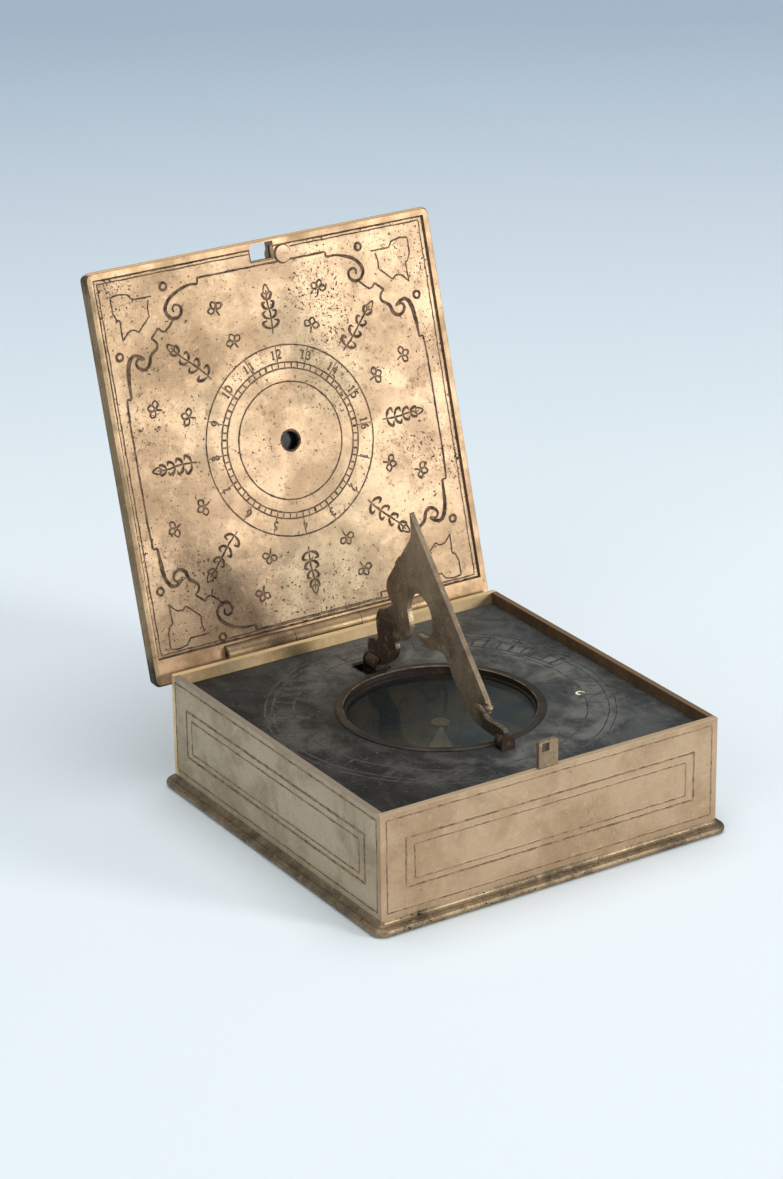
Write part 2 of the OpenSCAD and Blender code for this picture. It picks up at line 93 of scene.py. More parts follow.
class Shader:
    """Short calls for the nodes of a new material, or of one that exists."""

    def __init__(self, name, material=None):
        self.material = material or bpy.data.materials.new(name)
        self.material.use_nodes = True
        self.tree = self.material.node_tree
        self.bsdf = self.tree.nodes["Principled BSDF"]
        self.place = self.node("ShaderNodeTexCoord").outputs["Object"]

    def node(self, kind, **settings):
        made = self.tree.nodes.new(kind)
        for key, value in settings.items():
            setattr(made, key, value)
        return made

    def join(self, source, socket):
        if hasattr(source, "is_output"):
            self.tree.links.new(source, socket)
        else:
            socket.default_value = source

    def maths(self, operation, first, second=0.0, clamp=False):
        made = self.node("ShaderNodeMath", operation=operation, use_clamp=clamp)
        self.join(first, made.inputs[0])
        self.join(second, made.inputs[1])
        return made.outputs[0]

    def noise(self, size, detail=4.0, rough=0.55, stretch=None, warp=0.0):
        """Cloudy pattern whose features are about `size` millimetres across."""
        place = self.place
        if stretch:
            mapping = self.node("ShaderNodeMapping")
            mapping.inputs["Scale"].default_value = stretch
            self.join(place, mapping.inputs["Vector"])
            place = mapping.outputs[0]
        made = self.node("ShaderNodeTexNoise")
        self.join(place, made.inputs["Vector"])
        made.inputs["Scale"].default_value = 1 / (size * MM)
        made.inputs["Detail"].default_value = detail
        made.inputs["Roughness"].default_value = rough
        made.inputs["Distortion"].default_value = warp
        return made.outputs[0]

    def step(self, value, low, high):
        """0 below low, 1 above high and smooth between them."""
        made = self.node("ShaderNodeMapRange", interpolation_type="SMOOTHSTEP")
        self.join(value, made.inputs["Value"])
        made.inputs["From Min"].default_value = low
        made.inputs["From Max"].default_value = high
        return made.outputs[0]

    def fall(self, value, low, high):
        """1 below low, 0 above high and smooth between them."""
        return self.maths("SUBTRACT", 1, self.step(value, low, high))

    def mix(self, share, first, second):
        made = self.node("ShaderNodeMix", data_type="RGBA")
        self.join(share, made.inputs["Factor"])
        self.join(first, made.inputs["A"])
        self.join(second, made.inputs["B"])
        return made.outputs["Result"]

    def reach(self, centre):
        """Distance in millimetres from a point of the part's frame."""
        made = self.node("ShaderNodeVectorMath", operation="DISTANCE")
        self.join(self.place, made.inputs[0])
        made.inputs[1].default_value = Vector(centre) * MM
        return self.maths("DIVIDE", made.outputs["Value"], MM)

    def along(self, direction, start=(0, 0, 0)):
        """Millimetres from start, measured along a direction."""
        made = self.node("ShaderNodeVectorMath", operation="DOT_PRODUCT")
        self.join(self.place, made.inputs[0])
        made.inputs[1].default_value = Vector(direction).normalized()
        offset = Vector(start).dot(Vector(direction).normalized())
        return self.maths("SUBTRACT", self.maths("DIVIDE", made.outputs["Value"], MM), offset)

    def bump(self, height, depth, strength=0.6):
        """Relief of `depth` millimetres."""
        made = self.node("ShaderNodeBump")
        made.inputs["Strength"].default_value = strength
        made.inputs["Distance"].default_value = depth * MM
        self.join(height, made.inputs["Height"])
        self.join(made.outputs[0], self.bsdf.inputs["Normal"])


def colour(red, green, blue):
    """A colour as it looks on a screen, turned into linear light."""
    def linear(c):
        return c / 12.92 if c <= 0.04045 else ((c + 0.055) / 1.055) ** 2.4
    return (linear(red), linear(green), linear(blue), 1)


def tones(*triples):
    """Several colours at once, such as a metal's base, deep and worn tone."""
    return [colour(*triple) for triple in triples]


# Dark brown of dirt in pits, also used for painted shade at the lid's lower left corner.
DIRT_AND_SHADE = colour(0.14, 0.10, 0.07)
STAIN = colour(0.42, 0.31, 0.21)
GOLD = colour(0.93, 0.76, 0.50)
TAN = colour(0.825, 0.70, 0.56)

# A patch of up to this radius in millimetres has a clean edge, and a larger one a ragged edge
CLEAN_PATCH = 3


def patch_mask(s, centre, radius, ragged):
    """1 in the middle of a round place and 0 outside it."""
    if radius <= CLEAN_PATCH:
        return s.fall(s.reach(centre), radius * 0.95, radius)
    edge = s.maths("ADD", s.reach(centre), s.maths("MULTIPLY", ragged, radius))
    return s.fall(edge, radius * 0.35, radius)


def aged_metal(name, base, deep, worn, metallic=0.45, roughness=0.5, stains=0.5, pits=0.5,
               mottle=0.15, spots=(), patches=(), wear=None, rubbed_tone=GOLD):
    """Old rubbed metal: clouds of two tones, stains, smudges, dark pits and paler rubbed grain.

    `spots` are (centre, radius, strength) of places where pits and dirt gather.
    `patches` are (centre, radius, tone, strength) of places with a tone of their own or with
    painted shade.
    `wear` is a function that returns a 0 to 1 mask of rubbed edges, which get `rubbed_tone`.
    """
    s = Shader(name)
    clouds = s.step(s.noise(9, 5, 0.6, warp=0.4), 0.38, 0.66)
    tone = s.mix(clouds, base, deep)
    ragged = s.maths("SUBTRACT", s.noise(3.0, 6, 0.7), 0.5)
    for centre, radius, shade, strength in patches:
        near = patch_mask(s, centre, radius, ragged)
        tone = s.mix(s.maths("MULTIPLY", near, strength), tone, shade)
    rubbed = s.step(s.noise(1.6, 6, 0.7), 0.52, 0.72)
    tone = s.mix(s.maths("MULTIPLY", rubbed, 0.4), tone, worn)
    fleck = s.step(s.noise(1.0, 6, 0.7, warp=0.5), 0.55, 0.68)
    tone = s.mix(s.maths("MULTIPLY", fleck, mottle), tone, STAIN)
    stain = s.step(s.noise(5.5, 8, 0.72, warp=0.8), 0.58, 0.72)
    tone = s.mix(s.maths("MULTIPLY", stain, stains), tone, STAIN)
    gather = s.step(s.noise(11, 3, 0.5), 0.46, 0.72)
    for centre, radius, strength in spots:
        near = s.fall(s.reach(centre), radius * 0.3, radius)
        gather = s.maths("ADD", gather, s.maths("MULTIPLY", near, strength))

    def gathered(pattern, share):
        return s.maths("ADD", pattern, s.maths("MULTIPLY", gather, share))
    smudge = s.step(gathered(s.noise(1.9, 7, 0.72), 0.05), 0.56, 0.70)
    tone = s.mix(s.maths("MULTIPLY", smudge, pits * 0.4), tone, STAIN)
    pit = s.step(gathered(s.noise(0.5, 2, 0.5), 0.06), 0.685, 0.75)
    fine_pit = s.step(gathered(s.noise(0.26, 2, 0.5), 0.05), 0.67, 0.75)
    dark = s.maths("MULTIPLY", s.maths("MAXIMUM", pit, s.maths("MULTIPLY", fine_pit, 0.6)), pits)
    tone = s.mix(dark, tone, DIRT_AND_SHADE)
    grain = s.noise(0.35, 4, 0.6)
    tone = s.mix(s.maths("MULTIPLY", s.step(grain, 0.5, 0.75), 0.22), tone, worn)
    if wear:
        tone = s.mix(wear(s), tone, rubbed_tone)
    s.join(tone, s.bsdf.inputs["Base Color"])
    s.bsdf.inputs["Metallic"].default_value = metallic
    shine = s.maths("ADD", s.maths("MULTIPLY", clouds, 0.14), roughness)
    shine = s.maths("ADD", shine, s.maths("MULTIPLY", dark, 0.25))
    s.join(shine, s.bsdf.inputs["Roughness"])
    relief = s.maths("SUBTRACT", s.maths("MULTIPLY", grain, 0.5), dark)
    s.bump(relief, 0.05)
    return s.material


def above(direction, start, width=0.15):
    """Mask of what lies beyond a plane, for rims that fingers have rubbed bright."""
    def mask(s):
        return s.step(s.along(direction, start), -width, 0)
    return mask


def inner_lip(s):
    """Mask of the thin rubbed line along the inner edge of the compass ring."""
    radius = s.reach((0, 0, DIAL_TOP + 0.3))
    inner = s.fall(radius, BEZEL_R - 1.42, BEZEL_R - 1.28)
    patchy = s.step(s.noise(3.0, 4), 0.36, 0.56)
    high = s.step(s.along(UP), DIAL_TOP + 0.1, DIAL_TOP + 0.3)
    return s.maths("MULTIPLY", s.maths("MULTIPLY", inner, patchy), high)


def dress(names, material):
    for name in names:
        NODES[name].data.materials.clear()
        NODES[name].data.materials.append(material)


# The lid's own frame: across, towards its free edge, and the way its lining faces
LID_HINGE = Vector(JOINTS["lid_hinge"]["pos_m"]) / MM
LID_OPEN = math.radians(JOINTS["lid_hinge"]["range_deg"][1])
LID_TURN = Matrix.Rotation(-LID_OPEN, 3, "X")
LID_UP = LID_TURN @ -BACK
LID_OUT = LID_TURN @ UP
LINING_DEPTH = 0.5
LID_THICK = 2.8
LID_FOOT = 0.5
LID_END = 66.6
LID_HALF = 33.35
LINING_HALF = 31.95
ROSE = Vector((-0.35, 32.5))


def lid_point(x, v, w=LINING_DEPTH):
    return LID_HINGE + ACROSS * x + LID_UP * v + LID_OUT * w


# Sizes of the case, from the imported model
def top_of(node):
    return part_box(node)[1].z / MM


RIM = top_of("left_wall")
WALL_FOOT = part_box("left_wall")[0].z / MM
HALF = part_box("front_wall")[1].x / MM
DIAL_TOP = top_of("dial_plate")
BEZEL_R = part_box("compass_bezel")[1].x / MM
REAR_FOOT = Vector((-1.6, 20.6, DIAL_TOP))


def lining_metal():
    """Pink tan brass, browner at the left and at the foot as painted shade where its sheen falls
    off, with a painted shadow of the gnomon at the lower left and painted shade on the wall of the
    vane's hole.
    """
    spots = [(lid_point(x, v), radius, strength) for x, v, radius, strength in (
        (10, 58, 12, 0.9), (-26, 40, 10, 0.8), (26, 22, 10, 0.8), (-20, 12, 10, 0.9),
        (-29, 60, 8, 0.9), (28, 60, 9, 0.8), (4, 5, 10, 0.8), (-6, 46, 7, 0.7),
        (10, 42, 12, 0.8), (-29, 20, 8, 0.7))]
    olive = colour(0.64, 0.57, 0.45)
    ochre = colour(0.62, 0.505, 0.37)
    brown = colour(0.46, 0.37, 0.27)
    # Near black for painted shade on the wall of the vane's hole.
    hole_shade_tone = colour(0.16, 0.12, 0.09)
    # Some patches are the brass's own tone and some are painted shade: those at the upper left, at
    # the left and along the foot darken where the lid's sheen falls off, and the brown ones at the
    # lower left are a painted shadow of the gnomon.
    patches = [(lid_point(x, v), radius, shade, strength) for x, v, radius, shade, strength in (
        (-19, 55, 20, ochre, 0.75), (-30, 30, 15, ochre, 0.6), (9, 42, 10, olive, 0.6),
        (-14, 38, 9, olive, 0.4), (2, 5, 19, olive, 0.8), (-24, 8, 16, brown, 0.6),
        (-12, 9, 9, brown, 0.6), (24, 7, 12, ochre, 0.6), (3, 51, 8, olive, 0.5),
        (0, 32, 16, ochre, 0.25), (9, 22, 8, olive, 0.4), (20, 52, 12, ochre, 0.4))]
    # Painted shade: a near black patch on the wall of the vane's hole.
    painted_hole_shade = (lid_point(ROSE.x, ROSE.y, 0.9), 1.8, hole_shade_tone, 1.0)
    return aged_metal("lining_brass", TAN, colour(0.77, 0.64, 0.505), colour(0.88, 0.78, 0.645),
                      metallic=0.4, roughness=0.48, stains=0.35, pits=0.95, mottle=0.6, spots=spots,
                      patches=[*patches, painted_hole_shade])


def shell_metal():
    """Brown outside, with a golden free edge, painted shade at its lower left corner where it meets
    the case, and a darker upper left corner.
    """
    def edges(s):
        return s.step(s.along(LID_UP, lid_point(0, LID_END)), -0.5, -0.1)
    golden = colour(0.84, 0.69, 0.50)
    # Painted shade in the gap between lid and case at the lower left corner; the upper left corner
    # is darkened too.
    corners = ((lid_point(-33, -0.5), 4, DIRT_AND_SHADE, 0.9), (lid_point(-33.5, 66), 3.5, DIRT_AND_SHADE, 0.7))
    return aged_metal("shell_brass", colour(0.56, 0.47, 0.35), colour(0.49, 0.41, 0.30),
                      colour(0.70, 0.60, 0.45), metallic=0.5, roughness=0.45, stains=0.2, pits=0.6,
                      wear=edges, rubbed_tone=golden, patches=corners)


def rail_masks(material):
    """Gives the rails beside the lining its tone, and paints shade on the floor of the vane's hole.
    """
    s = Shader(material.name, material)
    before = s.bsdf.inputs["Base Color"].links[0].from_socket
    inner = s.step(s.along(-LID_OUT, lid_point(0, 0, 0)), -0.12, -0.04)
    clouds = s.step(s.noise(4, 5, 0.65), 0.35, 0.65)
    rail = s.mix(clouds, colour(0.76, 0.63, 0.49), colour(0.63, 0.51, 0.37))
    left = s.step(s.along(-ACROSS, lid_point(0, 0)), 32.0, 32.5)
    olive = s.mix(clouds, colour(0.60, 0.51, 0.39), colour(0.47, 0.40, 0.29))
    tone = s.mix(inner, before, s.mix(left, rail, olive))
    # Painted shade: near black on the floor of the vane's hole.
    hole = s.fall(s.reach(lid_point(ROSE.x, ROSE.y, 1.9)), 2.1, 2.3)
    hole = s.maths("MULTIPLY", hole, s.step(s.along(-LID_OUT, lid_point(0, 0, 0)), -2.4, -2.2))
    s.join(s.mix(hole, tone, colour(0.10, 0.09, 0.09)), s.bsdf.inputs["Base Color"])
    return material


def wall_metal(name, base, deep, worn, **more):
    return aged_metal(name, base, deep, worn, wear=above(UP, (0, 0, RIM), 0.2), **more)


def dial_metal():
    """Tarnished plate, darker towards the left, rubbed to a paler ring round the compass, with
    painted shade round the gnomon's rear foot.
    """
    s = Shader("dial_tarnish")
    ring_r = s.reach((0, 0, DIAL_TOP))
    ring = s.maths("MULTIPLY", s.step(ring_r, 17, 22), s.fall(ring_r, 27, 31))
    clouds = s.noise(7, 6, 0.65, warp=0.6)
    worn = s.maths("MULTIPLY", ring, s.step(clouds, 0.38, 0.7))
    left_to_right = s.step(s.along(ACROSS), -26, 14)
    plain = s.mix(left_to_right, colour(0.12, 0.12, 0.12), colour(0.245, 0.25, 0.245))
    cloudy = s.mix(left_to_right, colour(0.20, 0.20, 0.195), colour(0.345, 0.35, 0.34))
    tone = s.mix(s.step(clouds, 0.4, 0.65), plain, cloudy)
    rubbed = s.mix(left_to_right, colour(0.36, 0.34, 0.31), colour(0.50, 0.49, 0.46))
    tone = s.mix(s.maths("MULTIPLY", worn, 0.75), tone, rubbed)
    streaks = s.noise(2.2, 7, 0.7, stretch=(1.0, 0.35, 1.0))
    tone = s.mix(s.maths("MULTIPLY", s.step(streaks, 0.52, 0.72), 0.35), tone, rubbed)
    specks = s.step(s.noise(0.4, 3), 0.66, 0.71)
    tone = s.mix(s.maths("MULTIPLY", specks, 0.5), tone, colour(0.60, 0.57, 0.52))
    pits = s.step(s.noise(0.6, 4), 0.63, 0.70)
    tone = s.mix(s.maths("MULTIPLY", pits, 0.6), tone, colour(0.06, 0.06, 0.055))
    # Painted shade: near black on the dial round the gnomon's rear foot, where it stands in its
    # hole.
    from_foot = s.maths("ADD", s.reach(REAR_FOOT), s.maths("MULTIPLY", s.noise(1.2, 5), 2))
    tone = s.mix(s.fall(from_foot, 2.6, 3.6), tone, colour(0.04, 0.03, 0.03))
    s.join(tone, s.bsdf.inputs["Base Color"])
    s.bsdf.inputs["Metallic"].default_value = 0.1
    s.bsdf.inputs["Specular IOR Level"].default_value = 0.2
    s.join(s.maths("ADD", s.maths("MULTIPLY", clouds, 0.2), 0.48), s.bsdf.inputs["Roughness"])
    s.bump(s.maths("SUBTRACT", s.maths("MULTIPLY", streaks, 0.5), pits), 0.04)
    return s.material


def glass_material():
    """Old glass with painted shade, darker towards the back left of the bowl."""
    s = Shader("old_glass")
    haze = s.step(s.noise(6, 5, 0.6), 0.4, 0.7)
    # Painted shade: darker towards the back left, paler towards the front.
    near = s.step(s.along((0.45, -1, 0)), -12, 14)
    dark = s.mix(haze, colour(0.16, 0.19, 0.19), colour(0.20, 0.20, 0.17))
    pale = s.mix(haze, colour(0.31, 0.35, 0.36), colour(0.42, 0.42, 0.35))
    s.join(s.mix(near, dark, pale), s.bsdf.inputs["Base Color"])
    s.bsdf.inputs["Roughness"].default_value = 0.05
    s.bsdf.inputs["Specular IOR Level"].default_value = 0.12
    s.bsdf.inputs["Alpha"].default_value = 0.42
    return s.material


def paper_material():
    s = Shader("compass_card")
    spread = s.noise(4, 6, 0.65)
    # Painted shade: the card is darker towards the back left of the bowl and paler towards the
    # front.
    near = s.step(s.along((0.45, -1, 0)), -12, 12)
    dark = s.mix(s.step(spread, 0.35, 0.7), colour(0.20, 0.23, 0.22), colour(0.12, 0.13, 0.11))
    pale = s.mix(s.step(spread, 0.35, 0.7), colour(0.52, 0.55, 0.50), colour(0.38, 0.39, 0.33))
    s.join(s.mix(near, dark, pale), s.bsdf.inputs["Base Color"])
    s.bsdf.inputs["Roughness"].default_value = 0.9
    s.bsdf.inputs["Specular IOR Level"].default_value = 0.15
    s.bump(s.noise(0.8, 3), 0.01, 0.3)
    return s.material


def furrow_material(name, deep, shallow):
    """Cut line, filled with dirt in most places and rubbed clean in others."""
    s = Shader(name)
    filled = s.step(s.noise(1.3, 5, 0.7), 0.36, 0.62)
    s.join(s.mix(filled, deep, shallow), s.bsdf.inputs["Base Color"])
    s.bsdf.inputs["Roughness"].default_value = 0.8
    s.bump(s.noise(0.2, 3), 0.02)
    return s.material


class Sheet:
    """A flat face that carries engraving."""

    def __init__(self, body, slot, origin, right, up, burr, furrow):
        self.body = body
        self.slot = slot
        self.origin = Vector(origin)
        self.right = Vector(right)
        self.up = Vector(up)
        self.out = self.right.cross(self.up)
        self.materials = (burr, furrow)

    def at(self, x, y, lift):
        return (self.origin + self.right * x + self.up * y + self.out * lift) * MM


def smooth(points, per_span=6):
    """Curve that passes through every point of a list."""
    path = []
    last = len(points) - 1
    for i in range(last):
        a, b, c, d = (Vector(points[k]) for k in (max(i - 1, 0), i, i + 1, min(i + 2, last)))
        for k in range(per_span):
            t = k / per_span
            path.append(0.5 * (2 * b + (c - a) * t + (2 * a - 5 * b + 4 * c - d) * t * t
                               + (3 * b - a - 3 * c + d) * t * t * t))
    path.append(Vector(points[last]))
    return path


def resample(path, step):
    """Points about `step` apart along a path."""
    points = [path[0]]
    for start, end in zip(path, path[1:]):
        count = max(1, round((end - start).length / step))
        points += [start.lerp(end, k / count) for k in range(1, count + 1)]
    return points


def ring_point(centre, radius, bearing):
    """The point of a ring at a bearing in degrees, clockwise from straight up."""
    a = math.radians(bearing)
    return Vector((centre[0] + radius * math.sin(a), centre[1] + radius * math.cos(a)))


def circle(centre, radius, start=0, end=360, step=3):
    """Points of an arc from one bearing to another."""
    count = max(2, round(abs(end - start) / step))
    return [ring_point(centre, radius, start + (end - start) * k / count) for k in range(count + 1)]


class Engraving:
    """Collects the lines cut into one sheet and makes them one mesh."""

    # Heights over the plate of the burr, the furrow's floor and the burr's foot, then its width
    CREST = 0.022
    FLOOR = 0.008
    FOOT = 0.003
    BURR = 0.07

    def __init__(self, name, sheet, seed, rough=0.03):
        self.name = name
        self.sheet = sheet
        self.random = random.Random(seed)
        self.rough = rough
        self.vertices = []
        self.faces = []
        self.kinds = []

    def wave(self):
        """A slow random swing of about -1 to 1 over a distance."""
        periods = (7.1, 2.9, 1.1)
        phases = [(self.random.uniform(0, 6.28), self.random.uniform(0.6, 1.4)) for _ in periods]

        def swing(distance):
            total = sum(math.sin(phase + 6.28 * distance * rate / period)
                        for (phase, rate), period in zip(phases, periods))
            return total / 2
        return swing

    def cut(self, points, width=0.3, taper=0.0, swell=0.0, step=0.45):
        """One stroke. `taper` thins its ends, `swell` thickens its middle."""
        path = resample([Vector(p).to_2d() for p in points], step)
        if len(path) < 2:
            return
        total = sum((b - a).length for a, b in zip(path, path[1:]))
        sway = self.wave()
        weight = self.wave()
        first = len(self.vertices)
        gone = 0
        for i, point in enumerate(path):
            if i:
                gone += (point - path[i - 1]).length
            ahead = path[min(i + 1, len(path) - 1)] - path[max(i - 1, 0)]
            side = Vector((-ahead.y, ahead.x)).normalized()
            share = gone / total if total else 0
            size = width / 2 * (1 + 0.22 * weight(gone))
            size *= 1 - taper * (1 - min(1, 4 * min(share, 1 - share)))
            size += swell * math.sin(math.pi * share)
            centre = point + side * (self.rough * sway(gone))
            for offset, lift in ((size + self.BURR, self.FOOT), (size, self.CREST), (0, self.FLOOR),
                                 (-size, self.CREST), (-size - self.BURR, self.FOOT)):
                where = centre + side * offset
                self.vertices.append(self.sheet.at(where.x, where.y, lift))
        rows = len(path)
        for i in range(rows - 1):
            for k in range(4):
                a = first + i * 5 + k
                self.faces.append((a, a + 1, a + 6, a + 5))
                self.kinds.append(0 if k in (0, 3) else 1)

    def curve(self, points, **how):
        self.cut(smooth(points), **how)

    def lines(self, points, **how):
        """Straight cuts from point to point."""
        for start, end in zip(points, points[1:]):
            self.cut([start, end], **how)

    def ring(self, centre, radius, **how):
        self.cut(circle(centre, radius), **how)

    def finish(self):
        mesh = bpy.data.meshes.new(self.name)
        mesh.from_pydata(self.vertices, [], self.faces)
        for material in self.sheet.materials:
            mesh.materials.append(material)
        mesh.polygons.foreach_set("material_index", self.kinds)
        mesh.update()
        piece = bpy.data.objects.new(self.name, mesh)
        bpy.context.scene.collection.objects.link(piece)
        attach(piece, self.sheet.body)
        return piece


# Numerals as pen strokes in a box 1 wide and 1 tall; a stroke of two points is straight
NUMERALS = {
    "0": [[(0.5, 0), (0.88, 0.25), (0.88, 0.75), (0.5, 1), (0.12, 0.75), (0.12, 0.25), (0.5, 0)]],
    "1": [[(0.2, 0.78), (0.5, 1)], [(0.5, 1), (0.5, 0)], [(0.22, 0), (0.78, 0)]],
    "2": [[(0.12, 0.78), (0.3, 0.98), (0.68, 0.96), (0.82, 0.7), (0.5, 0.32), (0.1, 0)],
          [(0.1, 0), (0.92, 0.03)]],
    "3": [[(0.14, 0.86), (0.42, 1), (0.78, 0.84), (0.7, 0.6), (0.38, 0.52)],
          [(0.38, 0.52), (0.8, 0.46), (0.88, 0.2), (0.5, 0), (0.1, 0.12)]],
    "4": [[(0.66, 0), (0.66, 1)], [(0.66, 1), (0.06, 0.32)], [(0.06, 0.32), (0.94, 0.32)]],
    "5": [[(0.86, 0.98), (0.28, 0.98)], [(0.28, 0.98), (0.2, 0.58)],
          [(0.2, 0.58), (0.6, 0.64), (0.88, 0.34), (0.6, 0.02), (0.12, 0.08)]],
    "6": [[(0.8, 0.96), (0.4, 0.84), (0.14, 0.4), (0.36, 0.02), (0.76, 0.08), (0.86, 0.36),
           (0.58, 0.56), (0.2, 0.4)]],
    "7": [[(0.1, 0.98), (0.9, 0.98)], [(0.9, 0.98), (0.5, 0.5), (0.38, 0)]],
    "8": [[(0.5, 0.54), (0.2, 0.76), (0.5, 1), (0.8, 0.76), (0.5, 0.54),
           (0.14, 0.26), (0.5, 0), (0.86, 0.26), (0.5, 0.54)]],
    "9": [[(0.82, 0.62), (0.42, 0.42), (0.14, 0.68), (0.4, 0.98), (0.8, 0.9), (0.86, 0.55),
           (0.6, 0.16), (0.22, 0.02)]],
}


# Width of a digit as a share of the distance between digits
DIGIT_WIDTH = 0.8


def number(engraving, text, centre, height, bearing, pitch, width=0.26):
    """Cuts a number whose top points along a bearing, clockwise from straight up."""
    turn = Matrix.Rotation(-math.radians(bearing), 2)
    for place, digit in enumerate(text):
        left = (place - len(text) / 2) * pitch
        for stroke in NUMERALS[digit]:
            box = [Vector((left + x * pitch * DIGIT_WIDTH, (y - 0.5) * height)) for x, y in stroke]
            points = [Vector(centre) + turn @ corner for corner in box]
            if len(points) == 2:
                engraving.cut(points, width=width, step=0.3)
            else:
                engraving.cut(smooth(points, 4), width=width, step=0.3)


# Rose of the lining: radii of its rings, how many ticks and numbers it has, and the top number
ROSE_RINGS = (9.93, 12.15, 13.15, 16.1)
ROSE_TICKS = 64
ROSE_NUMBERS = 16
TOP_NUMBER = 12

# Places of the slot and of the hook's rivet in the lining
SLOT_HALF = 2.15
SLOT_V = (63.1, 66.0)
HOOK_RIVET = Vector((3.9, 63.5))
HOOK_RIVET_R = 1.4


def border_lines(sheet):
    """The dirty seam round the lining, and one cut line inside it."""
    cuts = Engraving("lid_border", sheet, 3, rough=0.05)
    side, top, foot = LINING_HALF - 0.14, 65.1, 1.95
    gaps = (-SLOT_HALF - 0.25, SLOT_HALF + 0.25)
    cuts.cut([(-side, foot), (-side, 40)], width=0.34)
    cuts.cut([(-side, 38), (-side, top)], width=0.42, swell=0.12)
    cuts.cut([(-side, top), (gaps[0], top)], width=0.3, swell=0.06)
    cuts.cut([(gaps[1], top), (side, top)], width=0.3, swell=0.06)
    cuts.cut([(side, top), (side, foot)], width=0.16)
    cuts.cut([(-side, foot), (side, foot)], width=0.34)
    side, top, foot = side - 0.7, top - 0.62, foot + 0.5
    cuts.cut([(-side, foot), (-side, top)], width=0.2)
    cuts.cut([(-side, top), (gaps[0], top)], width=0.18)
    cuts.cut([(HOOK_RIVET.x + HOOK_RIVET_R + 0.3, top), (side, top)], width=0.2)
    cuts.cut([(side, top), (side, foot)], width=0.18)
    cuts.cut([(-side, foot), (side, foot)], width=0.2)
    cuts.finish()


def worn_rings(sheet):
    """Dirt round the hole of the vane, round the rivets and beside the slot."""
    cuts = Engraving("lid_dirt_rings", sheet, 5, rough=0.03)
    cuts.ring(ROSE, 1.78, width=0.3)
    cuts.ring(HOOK_RIVET, HOOK_RIVET_R + 0.14, width=0.24)
    low, high = SLOT_V
    left, right = -SLOT_HALF - 0.14, SLOT_HALF + 0.14
    cuts.lines([(left, high), (left, low - 0.14), (right, low - 0.14), (right, high)], width=0.16)
    cuts.finish()


# One corner of the strapwork, measured from the middle of the rose towards the upper left
STEP_END = [(12.4, 29.85), (12.5, 28.9)]
UPPER_SCROLL = [(12.5, 28.9), (14.3, 28.95), (16.3, 28.4), (18.0, 27.5), (19.0, 26.3), (19.1, 25.1),
                (18.2, 24.1), (17.0, 24.1), (16.3, 24.9), (16.4, 25.8), (17.2, 26.2), (17.8, 25.8),
                (17.7, 25.1)]
MIDDLE_NOTCH = [(18.1, 23.8), (19.0, 22.9), (19.9, 22.2), (20.5, 22.4), (21.0, 23.0), (22.6, 21.6)]
LOWER_SCROLL = [(22.6, 21.6), (21.8, 20.7), (21.9, 19.8), (23.2, 18.8), (23.8, 17.4), (24.8, 16.8),
                (25.8, 17.3), (26.1, 18.1), (25.5, 18.7), (24.7, 18.4)]
LOWER_BAND = [(24.4, 18.4), (25.3, 19.1), (26.5, 19.3), (27.4, 18.3), (27.9, 16.0), (28.1, 12.5)]
SIDE_STEP = [(28.1, 12.5), (28.9, 12.5), (29.1, 8.7)]
CARTOUCHE_OUTER = [(27.8, 22.0), (27.7, 25.4), (28.2, 25.6), (28.8, 26.9), (28.8, 29.5),
                   (27.3, 29.7), (25.6, 29.4), (24.9, 28.4), (23.2, 28.4), (21.3, 28.4)]
CARTOUCHE_INNER = [(22.0, 27.9), (22.4, 26.6), (22.3, 25.2), (24.7, 23.0)]
CARTOUCHE_SCALLOP = [(24.7, 23.0), (25.5, 23.5), (26.6, 23.3), (27.7, 22.2)]
EYELETS = [(18.9, 29.6), (28.9, 19.6)]


def strapwork(sheet):
    cuts = Engraving("lid_strapwork", sheet, 7)
    for sx in (-1, 1):
        for sy in (-1, 1):
            def place(points):
                return [ROSE + Vector((sx * x, sy * y)) for x, y in points]
            cuts.lines(place(STEP_END), width=0.36)
            cuts.curve(place(UPPER_SCROLL), width=0.30, swell=0.16)
            cuts.lines(place(MIDDLE_NOTCH), width=0.34)
            cuts.curve(place(LOWER_SCROLL), width=0.30, swell=0.16)
            cuts.curve(place(LOWER_BAND), width=0.36, swell=0.2)
            cuts.lines(place(SIDE_STEP), width=0.34)
            cuts.lines(place(CARTOUCHE_OUTER), width=0.24)
            cuts.lines(place(CARTOUCHE_INNER), width=0.24)
            cuts.curve(place(CARTOUCHE_SCALLOP), width=0.24)
            for x, y in EYELETS:
                cuts.ring(place([(x, y)])[0], 0.6, width=0.42)
    for sy in (-1, 1):
        y = ROSE.y + sy * STEP_END[0][1]
        cuts.cut([(ROSE.x - STEP_END[0][0], y), (ROSE.x + STEP_END[0][0], y)], width=0.32)
    for sx in (-1, 1):
        x = ROSE.x + sx * SIDE_STEP[-1][0]
        cuts.cut([(x, ROSE.y - SIDE_STEP[-1][1]), (x, ROSE.y + SIDE_STEP[-1][1])], width=0.32)
    cuts.finish()


